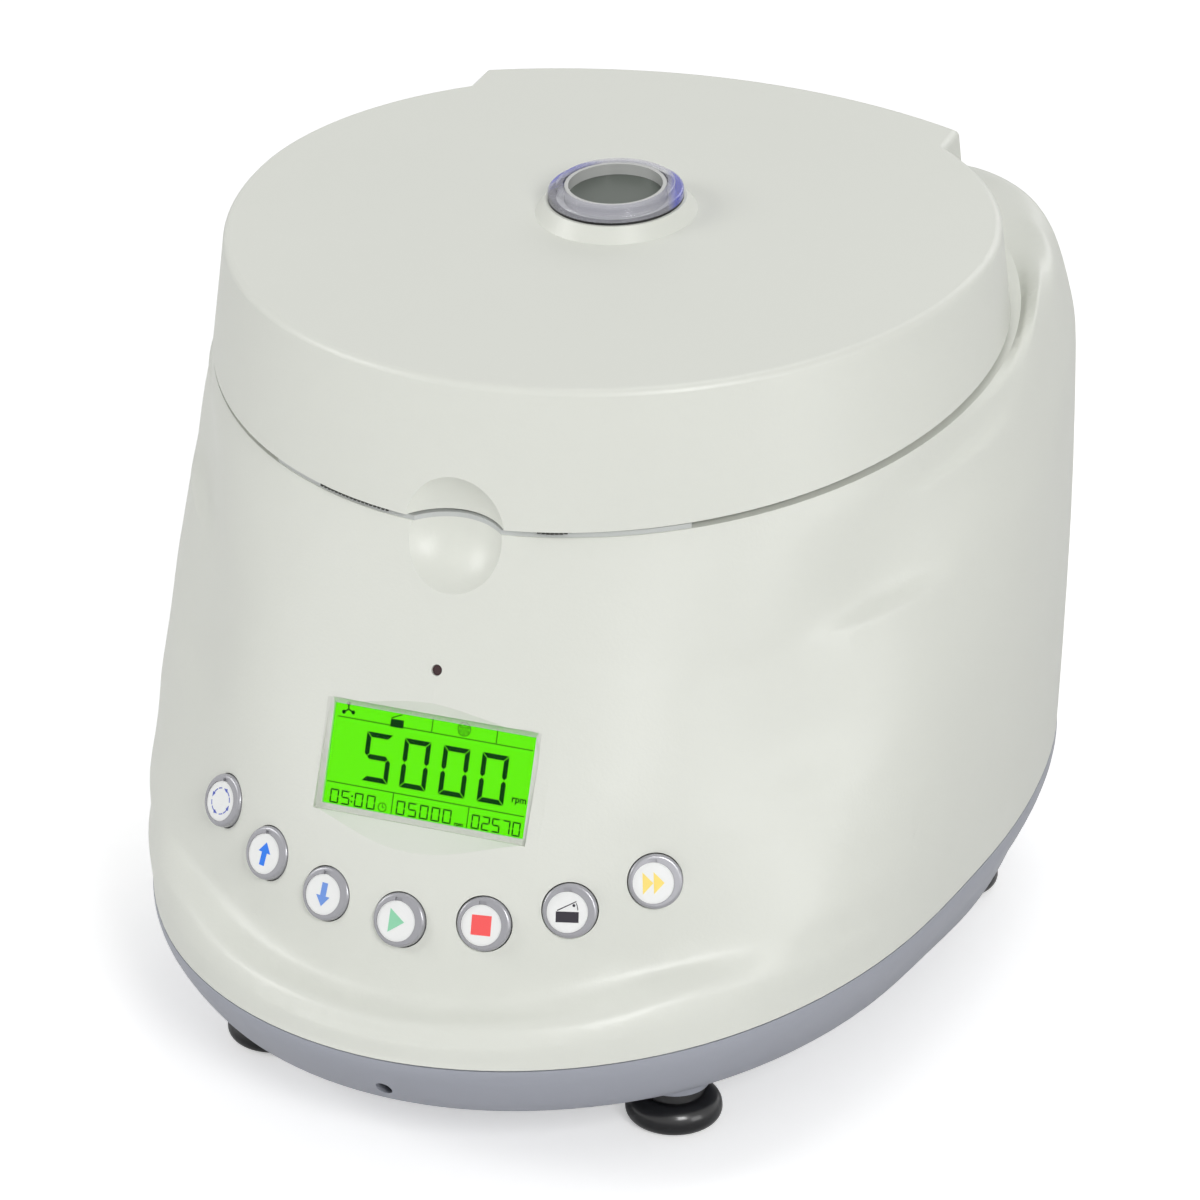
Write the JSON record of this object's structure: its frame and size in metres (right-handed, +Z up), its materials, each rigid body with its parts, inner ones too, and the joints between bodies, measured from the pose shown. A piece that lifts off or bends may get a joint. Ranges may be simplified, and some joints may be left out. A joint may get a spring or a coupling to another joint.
{
  "type": "bench centrifuge",
  "caption": "High-speed bench centrifuge: round hinged lid with a clear sight lens, steel chamber and fixed-angle rotor, lit display and push buttons in an arc, rubber feet.",
  "frame": {"origin": "on the floor plane at the bottom of the feet, under the middle of the body's footprint", "axes": "+X to the right and +Y to the rear as seen from the front, +Z up"},
  "size_m": [0.277, 0.3318, 0.2578],
  "materials": {
    "body_white": "finely textured satin",
    "tray_grey": "finely textured satin",
    "strip_grey": "satin",
    "foot_rubber": "smooth, a little glossy",
    "bowl_steel": "brushed",
    "seal_rubber": "matt",
    "plate_metal": "satin",
    "mount_rubber": "matt",
    "motor_metal": "satin",
    "boot_rubber": "matt",
    "shaft_steel": "ground",
    "rotor_metal": "dark anodised",
    "nut_metal": "turned",
    "gasket_black": "matt",
    "lens_clear": "clear, polished",
    "tunnel_grey": "satin",
    "pane_dark": "dark, polished",
    "liner_grey": "satin",
    "latch_steel": "zinc plated",
    "hinge_metal": "satin",
    "display_cover": "clear, polished",
    "display_green": "evenly lit",
    "board_green": "lacquered",
    "pipe_clear": "clear",
    "carrier_plastic": "plain",
    "latch_plastic": "plain",
    "coil_metal": "zinc plated",
    "panel_metal": "satin",
    "inlet_black": "moulded",
    "pin_brass": "plated",
    "rocker_black": "moulded",
    "button_grey": "satin",
    "disc_white": "printed film"
  },
  "bodies": {
    "case": {"base_tray": "tray_grey", "main_housing": "body_white", "rim_strip": "strip_grey", "foot_front_left": "foot_rubber", "foot_front_right": "foot_rubber", "foot_rear_left": "foot_rubber", "foot_rear_right": "foot_rubber", "chamber_bowl": "bowl_steel", "chamber_seal": "seal_rubber", "motor_plate": "plate_metal", "motor_mount_right": "mount_rubber", "motor_mount_left": "mount_rubber", "motor_mount_rear": "mount_rubber", "motor_can": "motor_metal", "shaft_boot": "boot_rubber", "hinge_bracket_left": "hinge_metal", "hinge_bracket_right": "hinge_metal", "hinge_pin": "shaft_steel", "display_window": "display_cover", "display_panel": "display_green", "control_board": "board_green", "light_pipe": "pipe_clear", "keypad_carrier": "carrier_plastic", "latch_case": "latch_plastic", "solenoid": "coil_metal", "lid_switch": "latch_plastic", "rear_panel": "panel_metal", "power_inlet": "inlet_black", "inlet_pins": "pin_brass", "switch_frame": "inlet_black", "power_board": "board_green"},
    "lid": {"lid_cover": "body_white", "lid_liner": "liner_grey", "lens": "lens_clear", "lens_gasket": "gasket_black", "lens_tunnel": "tunnel_grey", "tunnel_pane": "pane_dark", "lid_catch": "latch_steel", "hinge_arm_left": "hinge_metal", "hinge_arm_right": "hinge_metal"},
    "rotor_set": {"drive_shaft": "shaft_steel", "rotor": "rotor_metal", "rotor_nut": "nut_metal"},
    "bolt": {"latch_bolt": "latch_steel"},
    "drawer": {"fuse_drawer": "inlet_black"},
    "power_rocker": {"rocker": "rocker_black"},
    "key_wake": {"button_wake": "button_grey", "disc_wake": "disc_white"},
    "key_up": {"button_up": "button_grey", "disc_up": "disc_white"},
    "key_down": {"button_down": "button_grey", "disc_down": "disc_white"},
    "key_start": {"button_start": "button_grey", "disc_start": "disc_white"},
    "key_stop": {"button_stop": "button_grey", "disc_stop": "disc_white"},
    "key_open": {"button_open": "button_grey", "disc_open": "disc_white"},
    "key_spin": {"button_spin": "button_grey", "disc_spin": "disc_white"}
  },
  "joints": [
    {"name": "lid_hinge", "type": "hinge", "parent": "case", "child": "lid", "pos_m": [0, 0.14323, 0.2435], "axis": [-1, 0, 0], "range_deg": [0, 85]},
    {"name": "rotor_spin", "type": "hinge", "parent": "case", "child": "rotor_set", "pos_m": [0, 0.02423, 0.126], "axis": [0, 0, 1], "continuous": true},
    {"name": "bolt_slide", "type": "slide", "parent": "case", "child": "bolt", "axis": [1, 0, 0], "range_m": [0, 0.009], "stiffness_N_per_m": 120},
    {"name": "fuse_drawer_slide", "type": "slide", "parent": "case", "child": "drawer", "axis": [0, 1, 0], "range_m": [0, 0.014]},
    {"name": "rocker_pivot", "type": "hinge", "parent": "case", "child": "power_rocker", "pos_m": [0.044, 0.15623, 0.112], "axis": [1, 0, 0], "range_deg": [0, 18]},
    {"name": "key_wake_press", "type": "slide", "parent": "case", "child": "key_wake", "axis": [0.4065, 0.8333, -0.3746], "range_m": [0, 0.0012], "stiffness_N_per_m": 500, "springref_m": -0.0003},
    {"name": "key_up_press", "type": "slide", "parent": "case", "child": "key_up", "axis": [0.2865, 0.8818, -0.3746], "range_m": [0, 0.0012], "stiffness_N_per_m": 500, "springref_m": -0.0003},
    {"name": "key_down_press", "type": "slide", "parent": "case", "child": "key_down", "axis": [0.153, 0.9145, -0.3746], "range_m": [0, 0.0012], "stiffness_N_per_m": 500, "springref_m": -0.0003},
    {"name": "key_start_press", "type": "slide", "parent": "case", "child": "key_start", "axis": [0, 0.9272, -0.3746], "range_m": [0, 0.0012], "stiffness_N_per_m": 500, "springref_m": -0.0003},
    {"name": "key_stop_press", "type": "slide", "parent": "case", "child": "key_stop", "axis": [-0.153, 0.9145, -0.3746], "range_m": [0, 0.0012], "stiffness_N_per_m": 500, "springref_m": -0.0003},
    {"name": "key_open_press", "type": "slide", "parent": "case", "child": "key_open", "axis": [-0.2865, 0.8818, -0.3746], "range_m": [0, 0.0012], "stiffness_N_per_m": 500, "springref_m": -0.0003},
    {"name": "key_spin_press", "type": "slide", "parent": "case", "child": "key_spin", "axis": [-0.4065, 0.8333, -0.3746], "range_m": [0, 0.0012], "stiffness_N_per_m": 500, "springref_m": -0.0003}
  ]
}
